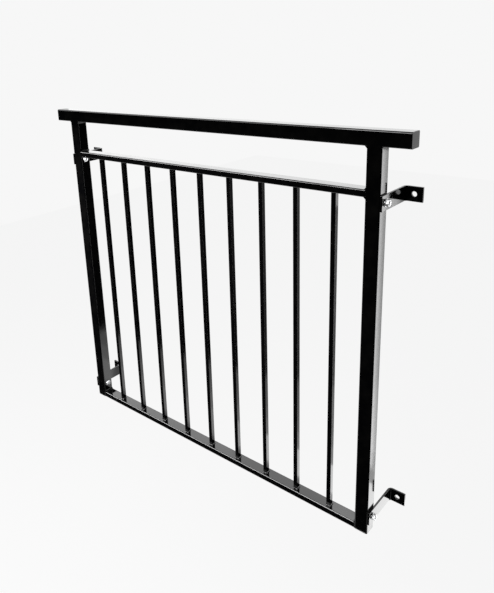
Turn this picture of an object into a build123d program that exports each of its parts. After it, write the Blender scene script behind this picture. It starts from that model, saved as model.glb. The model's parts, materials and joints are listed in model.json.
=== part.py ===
from build123d import *
import os

# Balcony railing of painted steel: a hollow box handrail on two box posts, two flat
# box rails between the posts, nine square bars between the rails, and four bent
# flat-bar brackets that carry the posts clear of the wall.
# The solids are first placed about the railing's middle: X along the handrail, Z up
# from the underside of the posts, and Y = 0 on the wall, with the front towards -Y.

# Overall sizes, in mm
width_over_posts = 1200.0
railing_height = 1160.0
handrail_overhang = 72.0

# Square box section of the handrail and posts
tube_size = 40.0
tube_wall = 2.0
tube_corner = 4.0
cap_thickness = 2.0

# Flat box section of the two rails, as deep as the posts
rail_height = 20.0
rail_wall = 2.0
rail_corner = 3.5
hand_gap = 107.0

# Square bars between the rails
bar_count = 9
bar_size = 14.0
bar_edge = 0.6
end_gap = 86.6

# Wall brackets bent from flat bar
bracket_width = 40.0
bracket_thickness = 6.0
bracket_bend = 6.0
wall_gap = 99.0
flange_reach = 51.0
wall_hole_offset = 28.0
wall_hole_diameter = 14.0
lower_bolt_above_rail = 35.0
upper_washer_below_rail = 1.0

# Through bolts that hold the brackets to the posts
bolt_diameter = 10.0
bolt_end_past_nut = 1.6
bolt_hole_clearance = 1.0
head_diameter = 17.5
head_height = 5.5
head_rim = 1.2
socket_across_flats = 6.0
socket_depth = 3.2
nut_across_flats = 16.0
nut_height = 8.4
nut_thread_clearance = 0.1
washer_diameter = 20.0
washer_thickness = 2.0
washer_bore = 10.6

# The origin lies on the lower left bracket's wall face, under its hole
origin_below_hole = 15.0

# Places that follow from the sizes above
half_width = width_over_posts / 2
post_middle_x = half_width - tube_size / 2
post_middle_y = -wall_gap - tube_size / 2
post_front_y = -wall_gap - tube_size
handrail_underside = railing_height - tube_size
handrail_middle_z = railing_height - tube_size / 2
handrail_length = width_over_posts + 2 * handrail_overhang
mid_rail_underside = handrail_underside - hand_gap - rail_height
rail_length = width_over_posts - 2 * tube_size
bar_length = mid_rail_underside - rail_height
bar_pitch = (rail_length - bar_size - 2 * end_gap) / (bar_count - 1)
wall_hole_x = half_width + wall_hole_offset
bolt_hole_diameter = bolt_diameter + bolt_hole_clearance
clamped_length = tube_size + bracket_thickness + 2 * washer_thickness
bolt_length = clamped_length + nut_height + bolt_end_past_nut
lower_bracket_height = rail_height + lower_bolt_above_rail
upper_bracket_height = mid_rail_underside - upper_washer_below_rail - washer_diameter / 2

sides = {"left": -1, "right": 1}
bracket_heights = {"lower": lower_bracket_height, "upper": upper_bracket_height}
frame_origin = Location((-wall_hole_x, 0, lower_bracket_height - origin_below_hole))

os.makedirs("parts", exist_ok=True)


def save(node, solid):
    """Write one piece, moved so that the origin lies on the lower left wall face."""
    export_step(frame_origin.inverse() * solid, f"parts/{node}.step")


def box_profile(across, height, wall, corner):
    """Cross-section of a hollow box tube with its rounded corners."""
    outside = RectangleRounded(across, height, corner)
    inside = RectangleRounded(across - 2 * wall, height - 2 * wall, corner - wall)
    return outside - inside


def along_x(profile, middle_y, middle_z, start, length):
    """A bar that runs along the railing from x = start."""
    plane = Plane(origin=(start, middle_y, middle_z), x_dir=(0, 1, 0), z_dir=(1, 0, 0))
    return extrude(plane * profile, amount=length)


def upright(profile, middle_x, middle_y, start, length):
    """A bar that stands upright from z = start."""
    return extrude(Pos(middle_x, middle_y, start) * profile, amount=length)


def round_bar_x(diameter, start, length, middle_y, middle_z):
    """A round solid whose axis runs along X from x = start."""
    return along_x(Circle(diameter / 2), middle_y, middle_z, start, length)


def mirrored(solid, side):
    """The piece as drawn for the right-hand end, or its mirror image for the left."""
    return solid if side > 0 else mirror(solid, about=Plane.YZ)


def hexagon_x(across_flats, start, length, middle_z):
    """A hexagonal solid across X, with two of its corners level with the bolt."""
    hexagon = RegularPolygon(across_flats / 2, 6, major_radius=False)
    return along_x(hexagon, post_middle_y, middle_z, start, length)


# Handrail: one box tube the length of the railing, closed by a flat plate at each end
handrail_profile = box_profile(tube_size, tube_size, tube_wall, tube_corner)
handrail_tube_length = handrail_length - 2 * cap_thickness
save("handrail", along_x(handrail_profile, post_middle_y, handrail_middle_z,
                         -handrail_tube_length / 2, handrail_tube_length))

end_plate = RectangleRounded(tube_size, tube_size, tube_corner)
for name, side in sides.items():
    plate = along_x(end_plate, post_middle_y, handrail_middle_z, handrail_tube_length / 2, cap_thickness)
    save(f"handrail_cap_{name}", mirrored(plate, side))

# Posts: box tubes from the foot plates up to the handrail, drilled for the bracket bolts
post_profile = box_profile(tube_size, tube_size, tube_wall, tube_corner)
for name, side in sides.items():
    post = upright(post_profile, post_middle_x, post_middle_y, cap_thickness,
                   handrail_underside - cap_thickness)
    for height in bracket_heights.values():
        post -= round_bar_x(bolt_hole_diameter, half_width - tube_size, tube_size, post_middle_y, height)
    save(f"post_{name}", mirrored(post, side))
    foot = upright(end_plate, post_middle_x, post_middle_y, 0, cap_thickness)
    save(f"post_foot_{name}", mirrored(foot, side))

# Rails: flat box tubes welded in between the posts, flush with them front and back
rail_profile = box_profile(tube_size, rail_height, rail_wall, rail_corner)
for name, underside in {"bottom_rail": 0, "mid_rail": mid_rail_underside}.items():
    save(name, along_x(rail_profile, post_middle_y, underside + rail_height / 2, -rail_length / 2, rail_length))

# Upright bars: solid square bar, evenly spaced about the middle of the railing
bar_square = Rectangle(bar_size, bar_size)
bar_profile = chamfer(bar_square.vertices(), bar_edge)
for index in range(bar_count):
    bar_x = (index - (bar_count - 1) / 2) * bar_pitch
    save(f"baluster_{index + 1}", upright(bar_profile, bar_x, post_middle_y, rail_height, bar_length))


def bracket(height):
    """Right-hand bracket: an arm along the post's outer side, bent out flat on the wall."""
    outline = Polyline(
        (half_width, post_front_y),
        (half_width, 0),
        (half_width + flange_reach, 0),
        (half_width + flange_reach, -bracket_thickness),
        (half_width + bracket_thickness, -bracket_thickness),
        (half_width + bracket_thickness, post_front_y),
        close=True,
    )
    section = make_face(outline)
    inside_of_bend = (half_width + bracket_thickness, -bracket_thickness, 0)
    inner_corner = section.vertices().sort_by_distance(inside_of_bend)[0]
    section = fillet(inner_corner, bracket_bend)
    outer_corner = section.vertices().sort_by_distance((half_width, 0, 0))[0]
    section = fillet(outer_corner, bracket_bend + bracket_thickness)
    solid = extrude(Pos(0, 0, height - bracket_width / 2) * section, amount=bracket_width)
    solid -= round_bar_x(bolt_hole_diameter, half_width, bracket_thickness, post_middle_y, height)
    wall_hole = Plane(origin=(wall_hole_x, 0, height), x_dir=(1, 0, 0), z_dir=(0, -1, 0))
    solid -= extrude(wall_hole * Circle(wall_hole_diameter / 2), amount=bracket_thickness)
    return solid


def washer(start, height):
    """A flat washer on the bolt, from x = start outwards."""
    ring = Circle(washer_diameter / 2) - Circle(washer_bore / 2)
    return along_x(ring, post_middle_y, height, start, washer_thickness)


def bolt(head_seat, height):
    """Dome-headed bolt: its head with a hexagon socket inside the railing, its shank out
    through post and bracket."""
    head_radius = head_diameter / 2
    dome_rise = head_height - head_rim
    dome_radius = (head_radius**2 + dome_rise**2) / (2 * dome_rise)
    dome_middle = Pos(head_seat - head_height + dome_radius, post_middle_y, height)
    head = round_bar_x(head_diameter, head_seat - head_height, head_height, post_middle_y, height)
    head = head & (dome_middle * Sphere(dome_radius))
    head -= hexagon_x(socket_across_flats, head_seat - head_height, socket_depth, height)
    return head + round_bar_x(bolt_diameter, head_seat, bolt_length, post_middle_y, height)


def nut(start, height):
    """Hexagon nut screwed on from outside, against its washer."""
    thread = round_bar_x(bolt_diameter + nut_thread_clearance, start, nut_height, post_middle_y, height)
    return hexagon_x(nut_across_flats, start, nut_height, height) - thread


# Brackets and their bolts, from the head on the post's inner side to the nut outside
inner_washer_seat = half_width - tube_size - washer_thickness
outer_washer_seat = half_width + bracket_thickness
nut_seat = outer_washer_seat + washer_thickness
for level, height in bracket_heights.items():
    for name, side in sides.items():
        place = f"{level}_{name}"
        save(f"bracket_{place}", mirrored(bracket(height), side))
        save(f"bolt_{place}", mirrored(bolt(inner_washer_seat, height), side))
        save(f"washer_inner_{place}", mirrored(washer(inner_washer_seat, height), side))
        save(f"washer_outer_{place}", mirrored(washer(outer_washer_seat, height), side))
        save(f"nut_{place}", mirrored(nut(nut_seat, height), side))
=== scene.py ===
import json
from math import ceil, cos, pi, radians, sin

import bmesh
import bpy
from mathutils import Matrix, Vector


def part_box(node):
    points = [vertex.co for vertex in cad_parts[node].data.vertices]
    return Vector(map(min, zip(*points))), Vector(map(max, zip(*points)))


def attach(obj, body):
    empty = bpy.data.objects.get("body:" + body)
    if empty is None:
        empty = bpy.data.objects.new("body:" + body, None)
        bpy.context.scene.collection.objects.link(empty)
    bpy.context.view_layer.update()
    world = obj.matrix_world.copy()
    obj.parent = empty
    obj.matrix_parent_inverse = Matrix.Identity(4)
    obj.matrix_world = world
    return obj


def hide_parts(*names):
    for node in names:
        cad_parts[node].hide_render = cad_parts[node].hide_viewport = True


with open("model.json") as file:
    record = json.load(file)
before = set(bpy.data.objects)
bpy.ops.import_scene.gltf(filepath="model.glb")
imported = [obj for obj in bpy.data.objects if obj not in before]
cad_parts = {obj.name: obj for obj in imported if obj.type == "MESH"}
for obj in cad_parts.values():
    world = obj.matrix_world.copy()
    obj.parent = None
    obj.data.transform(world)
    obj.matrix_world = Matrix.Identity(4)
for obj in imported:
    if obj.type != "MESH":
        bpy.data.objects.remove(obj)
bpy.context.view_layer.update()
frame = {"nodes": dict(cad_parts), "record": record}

# Posts
# Two uprights of square steel box tube, cut square at both ends and drilled across near
# each end for the bracket bolts. Welded up with the rest and painted gloss black.
x_axis, y_axis, z_axis = 0, 1, 2
tube_wall = 0.002
tube_corner = 0.004
cut_edge = 0.0003
corner_steps = 8
bolt_hole = 0.011
hole_steps = 48
same_point = 1e-7
paint_black = (0.0006, 0.0006, 0.0007, 1)
dust_grey = (0.0019, 0.0018, 0.0017, 1)
paint_ior = 1.5
clean_roughness = 0.05
rubbed_roughness = 0.11
dust_scale = 26.0
dust_starts, dust_full = 0.42, 0.78
rub_scale = 9.0
rub_stretch = (1.0, 6.0, 14.0)
rub_starts, rub_full = 0.35, 0.75
peel_scale = 420.0
peel_strength = 0.55
peel_height = 0.000010


def add_node(tree, kind, **settings):
    """A shader node with its settings; keys that name a socket fill that socket."""
    node = tree.nodes.new(kind)
    for key, value in settings.items():
        socket = node.inputs.get(key.replace("_", " ").title())
        if socket is not None:
            socket.default_value = value
        else:
            setattr(node, key, value)
    return node


def new_material(name):
    """A new material, its node tree, its shader and its object coordinates."""
    material = bpy.data.materials.new(name)
    material.use_nodes = True
    tree = material.node_tree
    place = tree.nodes.new("ShaderNodeTexCoord").outputs["Object"]
    return material, tree, tree.nodes["Principled BSDF"], place


def noise(tree, place, scale, detail, roughness):
    """A cloudy pattern over the given coordinates."""
    clouds = add_node(tree, "ShaderNodeTexNoise", scale=scale, detail=detail, roughness=roughness)
    tree.links.new(place, clouds.inputs["Vector"])
    return clouds.outputs["Fac"]


def ranged(tree, value, **limits):
    """A value moved from one range to another."""
    mapped = add_node(tree, "ShaderNodeMapRange", **limits)
    tree.links.new(value, mapped.inputs["Value"])
    return mapped.outputs["Result"]


def mixed_colour(tree, share, first, second):
    """A colour between two others. The numbers are the places of a mix node's colour sockets."""
    first_place, second_place, mixed_place = 6, 7, 2
    mix = add_node(tree, "ShaderNodeMix", data_type="RGBA")
    mix.inputs[first_place].default_value = first
    mix.inputs[second_place].default_value = second
    tree.links.new(share, mix.inputs["Factor"])
    return mix.outputs[mixed_place]


def raise_surface(tree, shader, pattern, strength, height):
    """Let a pattern lift the surface of the metal or the paint by up to a height."""
    bump = add_node(tree, "ShaderNodeBump", strength=strength, distance=height)
    tree.links.new(pattern, bump.inputs["Height"])
    tree.links.new(bump.outputs["Normal"], shader.inputs["Normal"])


def gloss_paint(name, unevenness=1.0):
    """Gloss black paint: orange peel from the gun, thin dust and a few fine rub marks."""
    material, tree, shader, place = new_material(name)
    shader.inputs["IOR"].default_value = paint_ior
    shader.inputs["Metallic"].default_value = 0.0

    dust = noise(tree, place, dust_scale, detail=6.0, roughness=0.62)
    dust_mask = ranged(tree, dust, from_min=dust_starts, from_max=dust_full)
    colour = mixed_colour(tree, dust_mask, paint_black, dust_grey)
    tree.links.new(colour, shader.inputs["Base Color"])

    stretched = add_node(tree, "ShaderNodeMapping", scale=rub_stretch)
    tree.links.new(place, stretched.inputs["Vector"])
    rubs = noise(tree, stretched.outputs["Vector"], rub_scale, detail=9.0, roughness=0.7)
    roughness = ranged(tree, rubs, from_min=rub_starts, from_max=rub_full,
                       to_min=clean_roughness, to_max=rubbed_roughness)
    tree.links.new(roughness, shader.inputs["Roughness"])

    peel = noise(tree, place, peel_scale, detail=2.0, roughness=0.45)
    raise_surface(tree, shader, peel, peel_strength, peel_height * unevenness)
    return material


def rounded_outline(wide, high, corner, steps):
    """Points round a rectangle with rounded corners, anticlockwise from its right side."""
    points = []
    for turn, (across, up) in enumerate([(1, 1), (-1, 1), (-1, -1), (1, -1)]):
        centre = Vector((across * (wide / 2 - corner), up * (high / 2 - corner)))
        for step in range(steps + 1):
            angle = (turn + step / steps) * pi / 2
            points.append(centre + corner * Vector((cos(angle), sin(angle))))
    return points


def section_loop(low, high, axis, along, inset, corner, steps):
    """A piece's rounded outline at a place along its axis, drawn in by an inset."""
    sides = [number for number in range(3) if number != axis]
    middle = (low + high) / 2
    wide = high[sides[0]] - low[sides[0]] - 2 * inset
    deep = high[sides[1]] - low[sides[1]] - 2 * inset
    loop = []
    for across, up in rounded_outline(wide, deep, corner - inset, steps):
        point = Vector((0, 0, 0))
        point[axis] = along
        point[sides[0]] = middle[sides[0]] + across
        point[sides[1]] = middle[sides[1]] + up
        loop.append(point)
    return loop


def skin(mesh, loops, joined):
    """Cover a run of matching loops with faces.

    A joined run closes into a ring of loops; otherwise its two ends are capped.
    """
    rows = [[mesh.verts.new(point) for point in loop] for loop in loops]
    count = len(rows[0])
    following = rows[1:] + rows[:1] if joined else rows[1:]
    for near, far in zip(rows, following):
        for index in range(count):
            after = (index + 1) % count
            mesh.faces.new((near[index], near[after], far[after], far[index]))
    if not joined:
        mesh.faces.new(rows[0][::-1])
        mesh.faces.new(rows[-1])


def loose_object(name, mesh):
    """Turn a worked mesh into an object in the scene."""
    bmesh.ops.remove_doubles(mesh, verts=mesh.verts, dist=same_point)
    bmesh.ops.recalc_face_normals(mesh, faces=mesh.faces)
    data = bpy.data.meshes.new(name)
    mesh.to_mesh(data)
    mesh.free()
    piece = bpy.data.objects.new(name, data)
    bpy.context.scene.collection.objects.link(piece)
    return piece


def skinned_object(name, loops, joined):
    """An object made from one run of matching loops."""
    mesh = bmesh.new()
    skin(mesh, loops, joined)
    return loose_object(name, mesh)


def box_tube(name, low, high, axis, wall, corner):
    """A hollow box tube along an axis, the outer edges of its cut ends eased."""
    start, end = low[axis], high[axis]
    stations = [(start, cut_edge), (start + cut_edge, 0), (end - cut_edge, 0), (end, cut_edge),
                (end, wall), (start, wall)]
    loops = [section_loop(low, high, axis, along, inset, corner, corner_steps)
             for along, inset in stations]
    return skinned_object(name, loops, joined=True)


def drill_bit(centre, axis, stations):
    """A round cutter on an axis through a centre, with its radius at stations along it."""
    sides = [number for number in range(3) if number != axis]
    loops = []
    for along, radius in stations:
        loop = []
        for step in range(hole_steps):
            angle = step / hole_steps * 2 * pi
            point = Vector(centre)
            point[axis] += along
            point[sides[0]] += radius * cos(angle)
            point[sides[1]] += radius * sin(angle)
            loop.append(point)
        loops.append(loop)
    return skinned_object("drill_bit", loops, joined=False)


def cut_out(piece, cutters):
    """Drill a piece with one or more cutters."""
    for cutter in cutters:
        drill = piece.modifiers.new("drill", "BOOLEAN")
        drill.operation = "DIFFERENCE"
        drill.solver = "EXACT"
        drill.object = cutter
    bpy.context.view_layer.update()
    drilled = piece.evaluated_get(bpy.context.evaluated_depsgraph_get())
    data = bpy.data.meshes.new_from_object(drilled)
    piece.modifiers.clear()
    piece.data = data
    for cutter in cutters:
        bpy.data.objects.remove(cutter)


def place_piece(piece, material, nodes=(), crease=35.0):
    """Give a finished piece its smooth faces, its paint or plating and its place on the railing."""
    data = piece.data
    data.materials.clear()
    data.materials.append(material)
    data.shade_smooth()
    data.set_sharp_from_angle(angle=radians(crease))
    flat_faces = piece.modifiers.new("flat_faces", "WEIGHTED_NORMAL")
    flat_faces.keep_sharp = True
    flat_faces.weight = 100
    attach(piece, "root")
    if nodes:
        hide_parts(*nodes)


black_gloss = gloss_paint("gloss_black_paint")

for side in ("left", "right"):
    low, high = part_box(f"post_{side}")
    reach = high.x - low.x
    post = box_tube(f"box_post_{side}", low, high, z_axis, tube_wall, tube_corner)
    bits = []
    for level in ("lower", "upper"):
        bolt_low, bolt_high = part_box(f"bolt_{level}_{side}")
        centre = (bolt_low + bolt_high) / 2
        centre.x = (low.x + high.x) / 2
        bits.append(drill_bit(centre, x_axis, [(-reach, bolt_hole / 2), (reach, bolt_hole / 2)]))
    cut_out(post, bits)
    place_piece(post, black_gloss, [f"post_{side}"])

# Foot plates and handrail end plates
# Flat steel plates, 2 mm thick, welded over the open ends of the tubes and ground flush,
# so that only a hairline seam shows under the paint.
plate_edge = 0.00035


def eased_solid(name, low, high, axis, edge, corner, steps):
    """A solid length of metal with rounded corners, the edges of its two ends eased."""
    start, end = low[axis], high[axis]
    stations = [(start, edge), (start + edge, 0), (end - edge, 0), (end, edge)]
    loops = [section_loop(low, high, axis, along, inset, corner, steps) for along, inset in stations]
    return skinned_object(name, loops, joined=False)


for side in ("left", "right"):
    for name, node, axis in ((f"foot_plate_{side}", f"post_foot_{side}", z_axis),
                             (f"handrail_end_plate_{side}", f"handrail_cap_{side}", x_axis)):
        low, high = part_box(node)
        plate = eased_solid(name, low, high, axis, plate_edge, tube_corner, corner_steps)
        place_piece(plate, black_gloss, [node])

# Handrail and the two rails
# The handrail is the same square tube as the posts, laid over their tops and run past
# them. The two rails are flat box tube with tighter corners, cut to fit between the posts.
rail_corner = 0.0035

low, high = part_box("handrail")
handrail = box_tube("box_handrail", low, high, x_axis, tube_wall, tube_corner)
place_piece(handrail, black_gloss, ["handrail"])
for rail in ("bottom_rail", "mid_rail"):
    low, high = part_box(rail)
    flat_tube = box_tube(f"box_{rail}", low, high, x_axis, tube_wall, rail_corner)
    place_piece(flat_tube, black_gloss, [rail])

# Bars
# Nine solid square steel bars between the rails, sawn square and welded all round at
# both ends. Their corners are only as round as the rolling mill leaves them.
bar_corner = 0.0008
bar_corner_steps = 3
bar_count = len([node for node in frame["nodes"] if node.startswith("baluster_")])

for number in range(1, bar_count + 1):
    node = f"baluster_{number}"
    low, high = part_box(node)
    bar = eased_solid(f"square_bar_{number}", low, high, z_axis, cut_edge, bar_corner, bar_corner_steps)
    place_piece(bar, black_gloss, [node])

# Welds
# Beads of weld metal in every inside corner, laid in a row of small overlapping pools, and
# groove welds, dressed almost flush, where the faces of two tubes run level. All painted over.
x_way, y_way, z_way = Vector((1, 0, 0)), Vector((0, 1, 0)), Vector((0, 0, 1))
ripple_length = 0.0017
ripple_height = 0.00013
steps_per_ripple = 6
weld_unevenness = 1.6
weld_crease = 60.0

bead_across_steps = 7
bead_root = 0.0024
bead_hollow = 0.62
bead_pool_bow = 0.55
bead_margin = 0.0008
end_fullness = 0.75
taper_legs = 4.0
handrail_leg = 0.007
overhang_leg = 0.003
rail_leg = 0.006
washer_clear = 0.0115

bar_leg = 0.0032
bar_front_share = 0.25
bar_bead_steps = 6

groove_across_steps = 5
groove_depth_share = 0.8
groove_pool_bow = 0.5
groove_sink = 0.00006
groove_ripple = 0.00016
groove_margin = 0.001
handrail_seam_rise = 0.002
handrail_groove_width = 0.0048
rail_seam_inset = 0.0019
rail_groove_width = 0.0046

weld_paint = gloss_paint("gloss_black_paint_on_weld", weld_unevenness)


def pool_swell(pools):
    """How much the weld swells, from 0 to 1 and back for each pool travelled."""
    return 0.5 + 0.5 * cos(2 * pi * pools)


def bead_section(root, along_one, along_two, leg, travelled, fullness):
    """One cross-section of a bead in the corner of two faces, as a closed loop of points."""
    outward = (along_one + along_two).normalized()
    size = leg * fullness
    loop = [root - outward * bead_root]
    for step in range(bead_across_steps + 1):
        share = step / bead_across_steps
        angle = share * pi / 2
        chord = along_one * size * (1 - share) + along_two * size * share
        hollow = along_one * size * (1 - sin(angle)) + along_two * size * (1 - cos(angle))
        pools = travelled / ripple_length + bead_pool_bow * (2 * share - 1) ** 2
        ripple = ripple_height * fullness * sin(pi * share) * pool_swell(pools)
        loop.append(root + chord.lerp(hollow, bead_hollow) + outward * ripple)
    return loop


def straight_bead(mesh, start, end, along_one, along_two, leg):
    """A bead from start to end, a little slimmer at its ends."""
    length = (end - start).length
    count = ceil(length / ripple_length * steps_per_ripple)
    loops = []
    for index in range(count + 1):
        share = index / count
        nearest_end = min(share, 1 - share) * length
        fullness = min(1.0, end_fullness + nearest_end / (taper_legs * leg))
        root = start.lerp(end, share)
        loops.append(bead_section(root, along_one, along_two, leg, share * length, fullness))
    skin(mesh, loops, joined=False)


def bead_round_bar(mesh, low, high, height, up):
    """A bead all round a square bar on a rail, full at its sides and thin at front and back."""
    middle = (low + high) / 2
    wide = high.x - low.x
    outline = rounded_outline(wide, wide, bar_corner, bar_bead_steps)
    path = []
    for index, point in enumerate(outline):
        turn, step = divmod(index, bar_bead_steps + 1)
        angle = (turn + step / bar_bead_steps) * pi / 2
        normal = Vector((cos(angle), sin(angle), 0))
        path.append((Vector((middle.x + point.x, middle.y + point.y, height)), normal))
        if step == bar_bead_steps:
            following = outline[(index + 1) % len(outline)]
            fill = ceil((following - point).length / ripple_length * steps_per_ripple)
            for part in range(1, fill):
                spot = point.lerp(following, part / fill)
                path.append((Vector((middle.x + spot.x, middle.y + spot.y, height)), normal))
    loops = []
    travelled = 0.0
    before = path[0][0]
    for root, normal in path:
        travelled += (root - before).length
        before = root
        fullness = bar_front_share + (1 - bar_front_share) * abs(normal.x)
        loops.append(bead_section(root, normal, up, bar_leg, travelled, fullness))
    skin(mesh, loops, joined=True)


def groove_weld(mesh, start, end, into, across, width):
    """A shallow weld that fills the groove between two level faces, a hair below them."""
    length = (end - start).length
    count = ceil(length / ripple_length * steps_per_ripple)
    loops = []
    for index in range(count + 1):
        share = index / count
        spot = start.lerp(end, share)
        loop = [spot + into * width * groove_depth_share]
        for step in range(groove_across_steps + 1):
            side = step / groove_across_steps * 2 - 1
            pools = share * length / ripple_length + groove_pool_bow * side ** 2
            sunk = groove_sink + groove_ripple * pool_swell(pools) * (1 - side ** 2)
            loop.append(spot + across * side * width / 2 + into * sunk)
        loops.append(loop)
    skin(mesh, loops, joined=False)


post_boxes = {side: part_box(f"post_{side}") for side in ("left", "right")}
handrail_low, handrail_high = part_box("handrail")
handrail_middle = (handrail_low + handrail_high) / 2
front, back = handrail_low.y, handrail_high.y

mesh = bmesh.new()
for low, high in post_boxes.values():
    for post_face, outward in ((low.x, -x_way), (high.x, x_way)):
        faces_in = outward.x * (handrail_middle.x - post_face) > 0
        leg = handrail_leg if faces_in else overhang_leg
        start = Vector((post_face, front + bead_margin, handrail_low.z))
        end = Vector((post_face, back - bead_margin, handrail_low.z))
        straight_bead(mesh, start, end, outward, -z_way, leg)
    for face, into in ((front, y_way), (back, -y_way)):
        seam = handrail_low.z + handrail_seam_rise
        start = Vector((low.x + groove_margin, face, seam))
        end = Vector((high.x - groove_margin, face, seam))
        groove_weld(mesh, start, end, into, z_way, handrail_groove_width)
welds = loose_object("welds_under_handrail", mesh)
place_piece(welds, weld_paint, crease=weld_crease)

for rail in ("bottom_rail", "mid_rail"):
    rail_low, rail_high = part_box(rail)
    mesh = bmesh.new()
    for post_face, inward in ((rail_low.x, x_way), (rail_high.x, -x_way)):
        start = Vector((post_face, front + bead_margin, rail_high.z))
        end = Vector((post_face, back - bead_margin, rail_high.z))
        straight_bead(mesh, start, end, inward, z_way, rail_leg)
        if rail == "mid_rail":
            # The bolt's washer sits just under this rail, so the bead leaves it room.
            middle = handrail_middle.y
            for near, far in ((front + bead_margin, middle - washer_clear),
                              (middle + washer_clear, back - bead_margin)):
                start = Vector((post_face, near, rail_low.z))
                end = Vector((post_face, far, rail_low.z))
                straight_bead(mesh, start, end, inward, -z_way, rail_leg)
        for face, into in ((front, y_way), (back, -y_way)):
            seam = post_face - inward.x * rail_seam_inset
            start = Vector((seam, face, rail_low.z + groove_margin))
            end = Vector((seam, face, rail_high.z - groove_margin))
            groove_weld(mesh, start, end, into, x_way, rail_groove_width)
    welds = loose_object(f"welds_at_{rail}", mesh)
    place_piece(welds, weld_paint, crease=weld_crease)

for label, up in (("feet", z_way), ("heads", -z_way)):
    mesh = bmesh.new()
    for number in range(1, bar_count + 1):
        low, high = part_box(f"baluster_{number}")
        bead_round_bar(mesh, low, high, low.z if label == "feet" else high.z, up)
    welds = loose_object(f"welds_at_bar_{label}", mesh)
    place_piece(welds, weld_paint, crease=weld_crease)

# Wall brackets
# Four lengths of flat steel bar, bent square in a press so that the long leg lies against the
# side of the post and the short one flat on the wall. Drilled once in each leg, painted black.
bar_thickness = 0.006
inside_bend = 0.006
outside_bend = inside_bend + bar_thickness
bend_steps = 12
rolled_edge = 0.0007
rolled_edge_steps = 3
bracket_crease = 40.0
wall_hole = 0.014
hole_edge = 0.0004


def bend_points(plate_x, wall_y, out, radius, inset):
    """Points round the bend from the post to the wall, at a depth inside the bar's outer face."""
    points = []
    for step in range(bend_steps + 1):
        angle = step / bend_steps * pi / 2
        points.append((plate_x + out * (inset + radius * (1 - cos(angle))),
                       wall_y - inset - radius * (1 - sin(angle))))
    return points


def bracket_bit(centre, axis, diameter):
    """A cutter for a hole through the flat bar, flared to take off both of the hole's edges."""
    radius = diameter / 2
    flared = radius + 2 * hole_edge
    face = bar_thickness / 2
    return drill_bit(centre, axis, [(-face - hole_edge, flared), (-face + hole_edge, radius),
                                    (face - hole_edge, radius), (face + hole_edge, flared)])


mounts = frame["record"]["mounts"]

for level in ("lower", "upper"):
    for side, out in (("left", -1), ("right", 1)):
        place = f"{level}_{side}"
        low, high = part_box(f"bracket_{place}")
        post_low, post_high = post_boxes[side]
        plate_x = post_high.x if out > 0 else post_low.x
        tip_x = high.x if out > 0 else low.x
        outline = [(plate_x, low.y)]
        outline += bend_points(plate_x, high.y, out, outside_bend, 0)
        outline += [(tip_x, high.y), (tip_x, high.y - bar_thickness)]
        outline += reversed(bend_points(plate_x, high.y, out, inside_bend, bar_thickness))
        outline.append((plate_x + out * bar_thickness, low.y))
        loops = [[Vector((x, y, height)) for x, y in outline] for height in (low.z, high.z)]
        bracket = skinned_object(f"bent_bracket_{place}", loops, joined=False)
        eased = bracket.modifiers.new("rolled_edges", "BEVEL")
        eased.width = rolled_edge
        eased.segments = rolled_edge_steps
        eased.limit_method = "ANGLE"
        eased.angle_limit = radians(bracket_crease)

        bolt_low, bolt_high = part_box(f"bolt_{place}")
        bolt_place = (bolt_low + bolt_high) / 2
        bolt_place.x = plate_x + out * bar_thickness / 2
        wall_mount = next(mount for mount in mounts if mount["name"] == f"wall_face_{place}")
        screw_place = Vector((wall_mount["pos_m"][0], high.y - bar_thickness / 2, (low.z + high.z) / 2))
        cut_out(bracket, [bracket_bit(bolt_place, x_axis, bolt_hole),
                          bracket_bit(screw_place, y_axis, wall_hole)])
        place_piece(bracket, black_gloss, [f"bracket_{place}"], crease=bracket_crease)

# Bolts, nuts and washers
# M10 dome-headed socket bolts of zinc-plated steel through each post and bracket, their heads
# inside the railing. A flat washer lies under each head and each nut. They are left unpainted.
points_round = 72
turned_crease = 28.0
washer_crease = 50.0

bolt_size = 0.010
head_radius = 0.00875
head_height = 0.0055
head_rim = 0.0012
rim_edge = 0.0002
dome_steps = 12
socket_across_flats = 0.006
socket_depth = 0.0032
socket_mouth = 0.0037
socket_lip = 0.0003

thread_length = 0.026
thread_pitch = 0.0015
thread_depth = 0.0009
thread_tip = 0.001
steps_per_thread = 6

nut_across_flats = 0.016
chamfer_rise = 0.0011
chamfer_stations = (0.0, 0.2, 0.45, 0.7, 1.0)
chamfer_ring_share = 0.97
bore_clearance = 0.00005
bore_lead = 0.0006

washer_bore_radius = 0.0053
washer_edge = 0.0003

zinc_light = (0.90, 0.905, 0.91, 1)
zinc_dull = (0.72, 0.73, 0.74, 1)
cloud_scale = 180.0
spot_scale = 900.0
spots_dull, spots_light = 0.05, 0.32
dull_roughness, bright_roughness = 0.58, 0.42
plating_strength = 0.15
plating_height = 0.00003


def maths(tree, operation, first, second):
    """The result of a maths node on an output and either another output or a plain number."""
    node = add_node(tree, "ShaderNodeMath", operation=operation)
    tree.links.new(first, node.inputs[0])
    if isinstance(second, float):
        node.inputs[1].default_value = second
    else:
        tree.links.new(second, node.inputs[1])
    return node.outputs["Value"]


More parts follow.
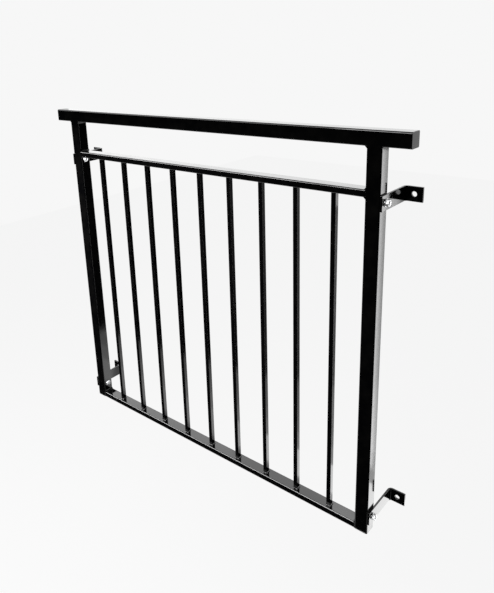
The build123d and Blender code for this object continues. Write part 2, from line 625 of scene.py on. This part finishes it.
def zinc_plating():
    """Bright zinc plating: a silvery, faintly clouded skin with small dull spots."""
    material, tree, shader, place = new_material("bright_zinc_plating")
    shader.inputs["Metallic"].default_value = 1.0
    clouds = noise(tree, place, cloud_scale, detail=5.0, roughness=0.6)
    spots = add_node(tree, "ShaderNodeTexVoronoi", scale=spot_scale)
    tree.links.new(place, spots.inputs["Vector"])
    spotted = maths(tree, "MULTIPLY", clouds, spots.outputs["Distance"])
    lightness = ranged(tree, spotted, from_min=spots_dull, from_max=spots_light)
    colour = mixed_colour(tree, lightness, zinc_dull, zinc_light)
    tree.links.new(colour, shader.inputs["Base Color"])
    roughness = ranged(tree, clouds, to_min=dull_roughness, to_max=bright_roughness)
    tree.links.new(roughness, shader.inputs["Roughness"])
    raise_surface(tree, shader, clouds, plating_strength, plating_height)
    return material


def hexagon_radius(angle, across_flats):
    """Distance from the bolt's middle to the side of a hexagon, with two corners level."""
    return across_flats / 2 / cos((angle % (pi / 3)) - pi / 6)


def around_bolt(centre, along, radius_at):
    """A closed loop round the bolt's axis, whose radius depends on the angle."""
    loop = []
    for step in range(points_round):
        angle = step / points_round * 2 * pi
        radius = radius_at(angle)
        loop.append(Vector((along, centre.y + radius * cos(angle), centre.z + radius * sin(angle))))
    return loop


def circle_round_bolt(centre, along, radius):
    """A plain circle round the bolt's axis."""
    return around_bolt(centre, along, lambda angle: radius)


def domed_head(centre, crown, out):
    """Loops of the bolt's head, from the floor of its hexagon socket over the dome to its seat."""
    dome_rise = head_height - head_rim
    dome_radius = (head_radius ** 2 + dome_rise ** 2) / (2 * dome_rise)

    def dome_depth(radius):
        return dome_radius - (dome_radius ** 2 - radius ** 2) ** 0.5

    def socket(angle):
        return hexagon_radius(angle, socket_across_flats)

    loops = [around_bolt(centre, crown + out * socket_depth, socket),
             around_bolt(centre, crown + out * (dome_depth(socket_mouth) + socket_lip), socket)]
    for step in range(dome_steps + 1):
        radius = socket_mouth + (head_radius - socket_mouth) * step / dome_steps
        loops.append(circle_round_bolt(centre, crown + out * dome_depth(radius), radius))
    for depth, radius in ((dome_rise + rim_edge, head_radius), (head_height - rim_edge, head_radius),
                          (head_height, head_radius - rim_edge)):
        loops.append(circle_round_bolt(centre, crown + out * depth, radius))
    return loops


def thread_loops(centre, start, out):
    """Loops of the right-hand thread, from where it starts on the shank to the bolt's tip."""
    loops = []
    count = round(thread_length / thread_pitch * steps_per_thread)
    for index in range(1, count + 1):
        along = index / count
        start_fade = min(1.0, along * thread_length / thread_pitch)
        tip_fade = max(0.0, 1 - (1 - along) * thread_length / thread_tip)

        def threaded(angle):
            turn = (along * thread_length / thread_pitch - out * angle / (2 * pi)) % 1.0
            groove = thread_depth * start_fade * (1 - abs(2 * turn - 1))
            return min(bolt_size / 2 - groove, bolt_size / 2 - thread_depth * tip_fade)

        loops.append(around_bolt(centre, start + out * along * thread_length, threaded))
    return loops


def chamfered_nut(centre, seat, face):
    """Loops of a nut whose corners are turned off at a low cone at both ends."""
    away = 1 if face > seat else -1
    corner = nut_across_flats / 2 / cos(pi / 6)
    ring = nut_across_flats / 2 * chamfer_ring_share
    slope = (corner - ring) / chamfer_rise

    def turned(down):
        return lambda angle: min(hexagon_radius(angle, nut_across_flats), ring + slope * down)

    downs = [chamfer_rise * share for share in chamfer_stations]
    return ([around_bolt(centre, seat + away * down, turned(down)) for down in downs]
            + [around_bolt(centre, face - away * down, turned(down)) for down in reversed(downs)])


def nut_bore(centre, seat, face, out):
    """Loops of the hole through the nut, widened where the bolt enters and leaves it."""
    bore = bolt_size / 2 + bore_clearance
    lead = bolt_size / 2 + bore_lead
    stations = [(face, lead), (face - out * bore_lead, bore),
                (seat + out * bore_lead, bore), (seat, lead)]
    return [circle_round_bolt(centre, along, radius) for along, radius in stations]


zinc = zinc_plating()

for level in ("lower", "upper"):
    for side, out in (("left", -1), ("right", 1)):
        place = f"{level}_{side}"
        low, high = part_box(f"bolt_{place}")
        centre = (low + high) / 2
        tip = high.x if out > 0 else low.x
        washer_low, washer_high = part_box(f"washer_inner_{place}")
        seat = washer_low.x if out > 0 else washer_high.x
        thread_start = tip - out * thread_length
        loops = domed_head(centre, seat - out * head_height, out)
        loops.append(circle_round_bolt(centre, seat, bolt_size / 2))
        loops.append(circle_round_bolt(centre, thread_start, bolt_size / 2))
        loops += thread_loops(centre, thread_start, out)
        bolt = skinned_object(f"domed_bolt_{place}", loops, joined=False)
        place_piece(bolt, zinc, [f"bolt_{place}"], crease=turned_crease)

        low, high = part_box(f"nut_{place}")
        seat, face = (low.x, high.x) if out > 0 else (high.x, low.x)
        loops = chamfered_nut(centre, seat, face) + nut_bore(centre, seat, face, out)
        nut = skinned_object(f"hexagon_nut_{place}", loops, joined=True)
        place_piece(nut, zinc, [f"nut_{place}"], crease=turned_crease)

        for position in ("inner", "outer"):
            low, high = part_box(f"washer_{position}_{place}")
            rim = (high.z - low.z) / 2
            bore = washer_bore_radius
            stations = [(low.x, rim - washer_edge), (low.x + washer_edge, rim),
                        (high.x - washer_edge, rim), (high.x, rim - washer_edge),
                        (high.x, bore + washer_edge), (high.x - washer_edge, bore),
                        (low.x + washer_edge, bore), (low.x, bore + washer_edge)]
            loops = [circle_round_bolt(centre, along, radius) for along, radius in stations]
            washer = skinned_object(f"flat_washer_{position}_{place}", loops, joined=True)
            place_piece(washer, zinc, [f"washer_{position}_{place}"], crease=washer_crease)

# Floor and backdrop
# A plain pale studio floor well below the railing, so bright that the railing's soft shadow is
# faint on it. The surround is white behind the railing; in front the gloss mirrors a dark room.
floor_height = -1.1
floor_left, floor_right = -6.0, 2.3
floor_front, floor_back = -1.05, 9.0
floor_own_colour = 0.02
floor_glow = 0.905
backdrop_white = 0.93
room_light = 0.16
backdrop_heading = radians(110.0)
backdrop_starts, backdrop_full = 0.41, 0.78


def seen_rays(tree):
    """The camera's rays, and all rays that show the background, with mirrored and glass ones."""
    path = tree.nodes.new("ShaderNodeLightPath")
    camera_ray = path.outputs["Is Camera Ray"]
    mirrored = maths(tree, "MAXIMUM", camera_ray, path.outputs["Is Glossy Ray"])
    return camera_ray, maths(tree, "MAXIMUM", mirrored, path.outputs["Is Transmission Ray"])


corners = [(floor_left, floor_front), (floor_right, floor_front),
           (floor_right, floor_back), (floor_left, floor_back)]
mesh = bmesh.new()
mesh.faces.new([mesh.verts.new((x, y, floor_height)) for x, y in corners])
floor = loose_object("floor", mesh)
pale = bpy.data.materials.new("pale_floor")
pale.use_nodes = True
tree = pale.node_tree
shader = tree.nodes["Principled BSDF"]
shader.inputs["Base Color"].default_value = (floor_own_colour, floor_own_colour, floor_own_colour, 1)
shader.inputs["Roughness"].default_value = 1.0
shader.inputs["Specular IOR Level"].default_value = 0.0
shader.inputs["Emission Color"].default_value = (1, 1, 1, 1)
_, seen = seen_rays(tree)
tree.links.new(maths(tree, "MULTIPLY", seen, floor_glow), shader.inputs["Emission Strength"])
floor.data.materials.append(pale)

world = bpy.data.worlds.new("studio")
bpy.context.scene.world = world
world.use_nodes = True
tree = world.node_tree
tree.nodes.clear()
camera_ray, seen = seen_rays(tree)
direction = tree.nodes.new("ShaderNodeTexCoord").outputs["Generated"]
facing = add_node(tree, "ShaderNodeVectorMath", operation="DOT_PRODUCT")
facing.inputs[1].default_value = (cos(backdrop_heading), sin(backdrop_heading), 0)
tree.links.new(direction, facing.inputs[0])
spread = ranged(tree, facing.outputs["Value"], interpolation_type="SMOOTHSTEP",
                from_min=backdrop_starts, from_max=backdrop_full)
shown = maths(tree, "MAXIMUM", spread, camera_ray)
backdrop = add_node(tree, "ShaderNodeBackground", color=(1, 1, 1, 1))
tree.links.new(maths(tree, "MULTIPLY", shown, backdrop_white), backdrop.inputs["Strength"])
room = add_node(tree, "ShaderNodeBackground", color=(1, 1, 1, 1), strength=room_light)
choose = tree.nodes.new("ShaderNodeMixShader")
tree.links.new(seen, choose.inputs["Fac"])
tree.links.new(room.outputs["Background"], choose.inputs[1])
tree.links.new(backdrop.outputs["Background"], choose.inputs[2])
surround = tree.nodes.new("ShaderNodeOutputWorld")
tree.links.new(choose.outputs["Shader"], surround.inputs["Surface"])

# Studio lamps
# A key soft box at the front left, one that faces down just in front of the railing, and a fill.
# The screens and strips behind it and at its right are there to be mirrored in the gloss paint.


def soft_box(name, middle, aim, wide, high, brightness):
    """A rectangular soft box at a place, turned to a point. At a brightness of 1 its face is white."""
    data = bpy.data.lights.new(name, "AREA")
    data.shape = "RECTANGLE"
    data.size = wide
    data.size_y = high
    data.energy = brightness * pi * wide * high
    lamp = bpy.data.objects.new(name, data)
    bpy.context.scene.collection.objects.link(lamp)
    toward = (Vector(aim) - Vector(middle)).normalized()
    lamp.matrix_world = Matrix.Translation(middle) @ toward.to_track_quat("-Z", "Y").to_matrix().to_4x4()
    lamp.visible_camera = False


def screen(name, middle, wide, high, brightness):
    """An upright soft box that faces straight forward."""
    soft_box(name, middle, (middle[0], 0.0, middle[2]), wide, high, brightness)


soft_box("key_front_left", middle=(-1.4, -1.9, 2.5), aim=(-0.3, -0.1, 0.5),
         wide=2.6, high=1.6, brightness=4.0)
soft_box("light_over_the_rails", middle=(-0.42, -0.78, 1.115), aim=(-0.42, -0.78, 0.0),
         wide=2.35, high=0.68, brightness=22.0)
screen("high_screen", middle=(-1.85, 2.5, 2.69), wide=3.5, high=0.72, brightness=1.5)
screen("high_screen_left", middle=(-2.5, 2.52, 2.69), wide=2.0, high=0.72, brightness=0.5)
screen("high_screen_right", middle=(-0.16, 2.52, 2.69), wide=0.5, high=0.72, brightness=1.2)
screen("middle_strip", middle=(-1.85, 2.5, 1.69), wide=3.5, high=0.14, brightness=1.5)
screen("low_strip_behind", middle=(-1.65, 2.5, 1.41), wide=3.9, high=0.42, brightness=0.7)
screen("upright_back_right", middle=(1.966, 0.79, 0.135), wide=0.668, high=1.51, brightness=1.0)
screen("upright_far_right", middle=(1.98, 0.80, 0.135), wide=0.64, high=1.51, brightness=2.4)
screen("small_box_right", middle=(1.622, 0.79, 0.665), wide=0.045, high=0.07, brightness=2.0)
screen("low_strip_left", middle=(1.20, 0.79, -0.775), wide=0.19, high=0.61, brightness=0.35)
screen("low_strip_high", middle=(1.725, 0.79, -0.702), wide=1.15, high=0.365, brightness=0.2)
screen("low_strip_middle", middle=(1.725, 0.80, -0.742), wide=1.15, high=0.285, brightness=0.4)
screen("low_strip_bottom", middle=(1.725, 0.81, -0.797), wide=1.15, high=0.175, brightness=0.7)
screen("low_strip_right", middle=(1.91, 0.82, -0.802), wide=0.78, high=0.165, brightness=1.7)
screen("low_strip_foot", middle=(1.965, 0.81, -0.982), wide=0.67, high=0.195, brightness=3.0)
soft_box("fill_front_above", middle=(0.6, -2.8, 2.1), aim=(1.2, -0.1, 0.5),
         wide=2.0, high=1.8, brightness=8.0)

# Camera
# Where the photo was taken from: in front of the railing and past its right end, a little above
# the handrail, looking back along it and down through a lens shifted off the picture's middle.
camera_place = (1.8666, -1.4804, 1.3421)
camera_heading = 42.61
camera_tilt = -16.69
camera_roll = -2.77
focal_length = 24.77
frame_height = 24.0
picture_wide, picture_high = 494, 593
optical_centre = (198.7, 223.2)

camera_data = bpy.data.cameras.new("camera")
camera = bpy.data.objects.new("camera", camera_data)
bpy.context.scene.collection.objects.link(camera)
camera.matrix_world = (
    Matrix.Translation(camera_place)
    @ Matrix.Rotation(radians(camera_heading), 4, "Z")
    @ Matrix.Rotation(radians(90 + camera_tilt), 4, "X")
    @ Matrix.Rotation(radians(camera_roll), 4, "Z")
)
camera_data.sensor_fit = "VERTICAL"
camera_data.sensor_height = frame_height
camera_data.lens = focal_length
camera_data.shift_x = (picture_wide / 2 - optical_centre[0]) / picture_high
camera_data.shift_y = (optical_centre[1] - picture_high / 2) / picture_high
bpy.context.scene.camera = camera
bpy.context.scene.view_settings.view_transform = "Standard"
